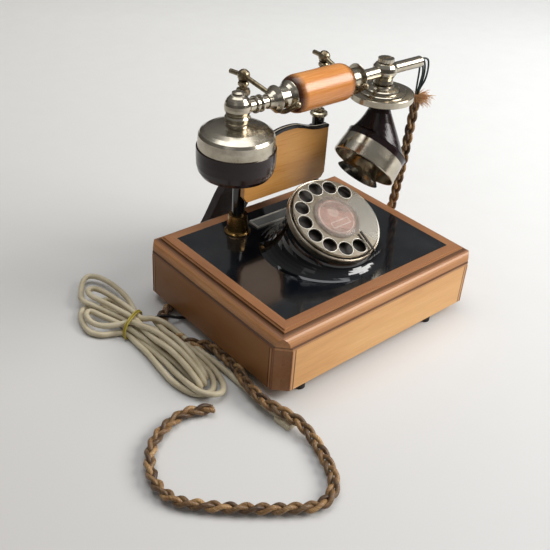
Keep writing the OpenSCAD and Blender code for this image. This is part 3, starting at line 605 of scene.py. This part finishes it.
# ---- Plaited handset cord ----
PLAIT_ROUTE = [
    (125, 12, 168), (126, 13, 152), (126, 14, 134), (126, 15, 114), (127, 17, 94), (128, 20, 72),
    (129, 23, 50), (130, 29, 28), (130, 41, 12), (129, 58, 5), (125, 78, 5), (114, 98, 4.8), (90, 105, 5),
    (62, 107, 5), (34, 106, 5), (6, 105, 5), (-22, 104, 5), (-46, 99, 5), (-64, 86, 4.6), (-82, 72, 4.5),
    (-100, 64, 4.5), (-113, 59, 4.5), (-129, 48, 4.5), (-133, 26, 4.5), (-128, 7, 4.5), (-119, -4, 4.5),
    (-116, -17, 4.5), (-116, -31, 4.5), (-118, -45, 6), (-124, -59, 9.5), (-127, -75, 9.9),
    (-127.5, -91, 9.9), (-123.5, -109, 9.9), (-120, -124, 8.2), (-121, -141, 5), (-127, -159, 5),
    (-134, -174, 5), (-144, -184, 5), (-158, -187, 5), (-172, -180, 5), (-190, -167, 5), (-205, -155, 5),
    (-220, -141, 5), (-232, -127, 5), (-236, -110, 5), (-231, -91, 5), (-218, -74, 5), (-200, -64, 5),
    (-180, -61, 5), (-160, -69, 5)]


def plaited_cord():
    """Three strands that pass over and under each other along a line, lowered where the plait lies flat."""
    pitch = 33 * MM
    spread, rise, strand_r = 2.8, 1.7, 1.85 * MM
    line, length = smooth_line(PLAIT_ROUTE, 1.3 * MM)
    line[:, 2] -= np.interp(line[:, 2], [5.2 * MM, 8 * MM], [0.35 * MM, 0])
    side, up = frames_along(line)
    along = np.linspace(0, length, len(line))
    tubes = []
    for k in range(3):
        angle = 2 * math.pi * (along / pitch + k / 3)
        path = line + (spread * np.sin(angle)[:, None] * side + rise * np.sin(2 * angle)[:, None] * up) * MM
        tubes.append((tube_rings(path, strand_r, 8), k))
    return mesh_of_tubes("plait", tubes), line, length


plait, plait_line, plait_length = plaited_cord()
dress(plait, "plait_brown", None)
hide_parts("handset_cord")
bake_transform(plait)


def fray():
    """Loose fibre ends of the textile cover where the wires leave it."""
    fibres = 190
    rng = random.Random(4)
    tubes = []
    for i in range(fibres):
        turn = rng.uniform(-0.2, 1.5) if i % 3 else rng.uniform(-3.1, 3.1)
        reach = rng.uniform(4, 17) * (1.0 if i % 3 else 0.5)
        drop = rng.uniform(-6, 6)
        start = Vector((125 + rng.uniform(-2.2, 2.2), 12 + rng.uniform(-2.2, 2.2), 165 + rng.uniform(-3, 3)))
        out = Vector((math.cos(turn), -math.sin(turn) * 0.9, 0))
        points = []
        for t in (0, 0.3, 0.65, 1):
            arch = 7 * t * (1 - t) + drop * t * t
            points.append(start + out * reach * t + Vector((0, 0, arch)))
        line, _ = smooth_line(points, 1.2 * MM)
        tubes.append((tube_rings(line, np.linspace(0.36, 0.14, len(line)) * MM, 4), 0))
    return mesh_of_tubes("fray", tubes)


tan = textile("fibre_tan", rgb(160, 108, 60), rgb(206, 156, 102), rgb(232, 194, 146))
tuft = fray()
dress(tuft, "plait_brown", "handset").data.materials[0] = tan

# ---- Four thin wires from the tube into the plait ----
WIRE_ROUTES = [
    [(119, 14, 201), (124, 14, 202.5), (130, 13.5, 199), (133, 13.5, 191), (132.5, 13.5, 181),
     (128, 13, 173), (125.5, 13, 167)],
    [(119, 11, 202), (124, 10, 203.5), (129, 8.5, 201.5), (131, 8.5, 193), (130, 9, 183), (127, 11, 174),
     (125, 11, 167)],
    [(119, 12, 199), (123, 12, 199.5), (126.5, 11.5, 196), (127.5, 11, 188), (126.5, 11.5, 178),
     (125, 12, 167)],
    [(119, 13, 200), (124, 15, 200.5), (128.5, 16.5, 196), (130, 17, 187), (128, 15.5, 177),
     (125, 13, 167)]]
for number, route in enumerate(WIRE_ROUTES):
    wire_line, wire_length = smooth_line(route, 1.0 * MM)
    wire = dress(round_cord(f"wire_{number}", wire_line, 0.85 * MM), "green_wire", "handset")
    if number == 0:
        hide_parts("handset_wires")

# ---- Folded white line cord ----
HANK_ROUTE = [
    (-137.5, 48, 8.5), (-139, 38, 8.7), (-140.5, 25, 10.5), (-140, 8, 12), (-141, -8, 12),
    (-143, -24, 11.6), (-145, -34, 10.8), (-146, -40, 7.3), (-144.5, -35, 3.6), (-142.5, -24, 2.8),
    (-141.5, -8, 2.7), (-143.5, 12, 2.7), (-149, 32, 2.7), (-153.6, 50, 2.7), (-155.5, 72, 2.7),
    (-158, 93, 2.7), (-154.5, 102, 2.7), (-148.5, 99, 2.7), (-146, 86, 2.7), (-146, 69, 2.7),
    (-148.4, 50, 2.7), (-142, 32, 2.7), (-138, 14, 2.7), (-136, -4, 2.7), (-135.8, -22, 2.7),
    (-137.5, -36, 2.7), (-143, -47, 2.7), (-150, -51.5, 2.7), (-157.5, -49, 2.7), (-163.5, -40, 2.7),
    (-166.5, -24, 2.7), (-165.5, -6, 2.7), (-163.5, 16, 2.7), (-163.2, 34, 2.7), (-164, 50, 2.7),
    (-172, 56, 2.7), (-181, 60, 2.7), (-187, 70, 2.7), (-186, 82, 2.7), (-182, 94, 2.7), (-175, 101, 2.7),
    (-168, 97, 2.7), (-163, 84, 2.7), (-160, 66, 2.7), (-158.8, 50, 2.7), (-158.5, 20, 2.7),
    (-158, 0, 2.7), (-159.5, -20, 4), (-161, -38, 7.2), (-159, -51, 7.6), (-152, -59, 7),
    (-144, -59, 5.5), (-137, -51, 4), (-132.5, -38, 3), (-130.5, -22, 2.7), (-130.5, -4, 2.7),
    (-133, 12, 3.5), (-139, 28, 5.8), (-146, 40, 7), (-150.6, 50, 7.3), (-145, 66, 8), (-140, 84, 8.3),
    (-138.5, 103, 8), (-139.5, 121, 7), (-143.5, 134, 6.5), (-150.5, 139, 6), (-159, 132, 5.8),
    (-167, 120, 6), (-172.5, 107, 7.6), (-169, 94, 8), (-163, 78, 7.6), (-158, 64, 7.4),
    (-155.8, 50, 7.3), (-152, 32, 6.5), (-148.5, 12, 4), (-146.7, -8, 2.7), (-147.3, -26, 2.7),
    (-149, -39, 3.4), (-150.5, -44.5, 7.3), (-149.5, -38, 11), (-148, -26, 12), (-146.8, -8, 13),
    (-148, 8, 14.2), (-151, 24, 15.6), (-156, 40, 14.4), (-158, 50, 12.2), (-171, 58, 9.6),
    (-179, 67, 7.6), (-182, 78, 7.2), (-179.5, 88, 7.2), (-174.5, 89, 7.3), (-170, 76, 7.5),
    (-165, 62, 7.5), (-161, 50, 7.3), (-157.5, 32, 6.5), (-154, 12, 3.9), (-152, -8, 2.7),
    (-152.5, -26, 2.7), (-154, -40, 3.4), (-155, -45.5, 7.3), (-154.5, -36, 10.8), (-152.5, -19, 11.3),
    (-152, 1, 11.6), (-154, 19, 11.4), (-154.5, 34, 11.4), (-152.8, 50, 11.8), (-158, 72, 12.4),
    (-163, 90, 12.6), (-166, 104, 12), (-164, 112, 12), (-158, 110.5, 12.2), (-154, 100, 12.5),
    (-151.5, 86, 12.5), (-149, 68, 12.2), (-147.8, 50, 12), (-142, 42, 14), (-136, 33, 12.4),
    (-130, 20, 6.5), (-127, 2, 3), (-125, -25, 2.6), (-124.5, -56, 2.6), (-125, -85, 2.6),
    (-124, -103, 2.6)]
hank_line, hank_length = smooth_line(HANK_ROUTE, 2.0 * MM)
hank = dress(round_cord("line_cord", hank_line, 2.45 * MM), "white_cord")
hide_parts("line_hank", "line_tail")

BAND_ROUTE = [
    (-143, 58, 6), (-144, 57.5, 13), (-149, 55, 15.6), (-156, 51, 16.2), (-163, 48, 14.4),
    (-167.6, 45.5, 8.5), (-167, 45.5, 2), (-160, 49, 0.7), (-150, 54, 0.7), (-143.6, 57.6, 1.6),
    (-143, 58, 6)]
yellow = plastic("band_yellow", rgb(176, 158, 62), rgb(136, 118, 44), 0.45, 200)
for number, shift in enumerate((-1.1, 1.1)):
    moved = [(x, y + shift + 0.6 * math.sin(x), z) for x, y, z in BAND_ROUTE]
    band_line, _ = smooth_line(moved, 1.0 * MM)
    band = dress(round_cord(f"rubber_band_{number}", band_line, 0.75 * MM), "white_cord")
    band.data.materials[0] = yellow

LEAD_ROUTE = [
    (-92, 34, 9), (-94, 35, 5), (-100, 37, 3), (-108, 39, 2.5), (-116, 41, 4), (-124, 43, 8),
    (-131, 46, 9.5), (-137.5, 47.5, 8.5)]
lead_line, lead_length = smooth_line(LEAD_ROUTE, 1.0 * MM)
lead = dress(round_cord("lead", lead_line, 1.4 * MM), "lead_black")
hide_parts("line_lead")


# ---- Corner beads, rims of the finger holes, rim of the card window ----
def corner_beads():
    """Two upright half-round beads on every corner post, one at each edge of its chamfer."""
    cut, sunk = 10.7 * MM, 0.35 * MM
    low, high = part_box("corner_posts")
    spots = [(high.x, high.y - cut), (high.x - cut, high.y)]
    tubes = []
    for sx in (-1, 1):
        for sy in (-1, 1):
            for x, y in spots:
                at = Vector((sx * (x - sunk), sy * (y - sunk), 0))
                heights = np.linspace(low.z + 0.4 * MM, high.z - 0.3 * MM, 6)
                tubes.append((tube_rings(np.array([(at.x, at.y, z) for z in heights]), 0.75 * MM, 10), 0))
    return mesh_of_tubes("corner_beads", tubes)


dress(corner_beads(), "corner_wood")


def hole_rim_highlights():
    """Bright rims round the ten finger holes, in lighter metal than the wheel: a painted highlight on the hole
    edges.
    """
    circle_r, rim_r, rim_z = 31.3, 6.75, 4.42
    turn = Matrix.Translation(DIAL_CENTRE) @ Matrix.Rotation(math.radians(DIAL_TILT), 4, "X")
    tubes = []
    for i in range(10):
        a = math.radians(37.9 + 26.2 * i)
        ring = []
        for k in range(41):
            b = 2 * math.pi * k / 40
            x = circle_r * math.cos(a) + rim_r * math.cos(b)
            y = circle_r * math.sin(a) + rim_r * math.sin(b)
            ring.append(turn @ (Vector((x, y, rim_z)) * MM))
        tubes.append((tube_rings(np.array(ring), 0.28 * MM, 6), 0))
    return mesh_of_tubes("hole_rim_highlights", tubes, capped=False)


# Painted highlight: the finger hole rims are lighter metal than the wheel around them.
dress(hole_rim_highlights(), "frame_metal", "finger_wheel")


def window_rim():
    """Bright edge round the card window on the deck."""
    inset = 0.6 * MM
    low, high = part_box("card_frame")
    left, right, front, back = low.x + inset, high.x - inset, low.y + inset, high.y - inset
    z = high.z + 0.1 * MM
    corners = [(left, front), (right, front), (right, back), (left, back)]
    tubes = []
    for a, b in zip(corners, corners[1:] + corners[:1]):
        tubes.append((tube_rings(np.linspace((*a, z), (*b, z), 3), 0.5 * MM, 8), 0))
    return mesh_of_tubes("window_rim", tubes)


dress(window_rim(), "frame_metal")


# ---- Table, light and finish ----
def lay_table():
    """A wide table top. Its tone changes across and away from the camera; that is painted light and shade,
    standing for the fall-off of the room's light.
    """
    half, below_feet = 3.0, 0.0004
    right_x, right_y = 0.76, 0.64
    ahead_x, ahead_y = 0.676, 0.737
    mesh = bpy.data.meshes.new("table")
    corners = [(-half, -half, 0), (half, -half, 0), (half, half, 0), (-half, half, 0)]
    mesh.from_pydata(corners, [], [(0, 1, 2, 3)])
    table = bpy.data.objects.new("table", mesh)
    scene.collection.objects.link(table)
    table.location.z = -below_feet
    s = Shade("table_white")
    x, y, _ = s.axes()
    across = s.math("SUBTRACT", s.both(x, right_x), s.both(y, right_y))
    ahead = s.add(s.both(x, ahead_x), s.both(y, ahead_y))
    # Painted shade and light: darker near the camera and to the left, lighter far off.
    near = s.mix(s.span(across, -0.35, 0.3), rgb(194, 191, 187), rgb(206, 206, 206))
    far = s.mix(s.span(across, -0.6, 0.4), rgb(232, 230, 226), rgb(236, 237, 236))
    tone = s.mix(s.span(ahead, -0.3, 0.8), near, far)
    mottled = s.mix(s.span(s.noise(30, 4), 0.3, 0.7, 0, 0.08), tone, rgb(200, 198, 196))
    s.set(color=mottled, rough=0.7, spec=0.2)
    mesh.materials.append(s.material)


def lamp(name, at, size, power, color=(1, 1, 1)):
    """A rectangular soft lamp, in metres and watts, that looks at the middle of the telephone."""
    aim = (0, 0, 0.08)
    data = bpy.data.lights.new(name, "AREA")
    data.shape = "RECTANGLE"
    data.size, data.size_y = size
    data.energy = power
    data.color = color
    made = bpy.data.objects.new(name, data)
    scene.collection.objects.link(made)
    made.location = at
    made.rotation_euler = (Vector(aim) - Vector(at)).to_track_quat("-Z", "Y").to_euler()


def light_scene():
    """Room light, a window at the front right, a ceiling lamp and a faint fill."""
    world = bpy.data.worlds.new("room")
    scene.world = world
    world.use_nodes = True
    tree = world.node_tree
    place = tree.nodes.new("ShaderNodeTexCoord").outputs["Generated"]
    axes = tree.nodes.new("ShaderNodeSeparateXYZ")
    tree.links.new(place, axes.inputs[0])
    ramp = tree.nodes.new("ShaderNodeValToRGB")
    tree.links.new(axes.outputs[2], ramp.inputs[0])
    ramp.color_ramp.elements[0].position = 0.0
    ramp.color_ramp.elements[0].color = (0.16, 0.145, 0.13, 1)
    ramp.color_ramp.elements[1].position = 0.75
    ramp.color_ramp.elements[1].color = (0.72, 0.72, 0.72, 1)
    back = tree.nodes["Background"]
    tree.links.new(ramp.outputs[0], back.inputs[0])
    back.inputs[1].default_value = 0.36
    lamp("window", (1.15, -1.05, 1.15), (1.2, 1.0), 40, (1, 0.985, 0.96))
    lamp("ceiling", (0.1, 0.3, 1.9), (1.8, 1.4), 19, (0.97, 0.985, 1))
    lamp("fill", (-1.2, -0.6, 0.9), (0.7, 0.5), 0.4)
    scene.view_settings.view_transform = "Standard"


lay_table()
light_scene()
write_size()
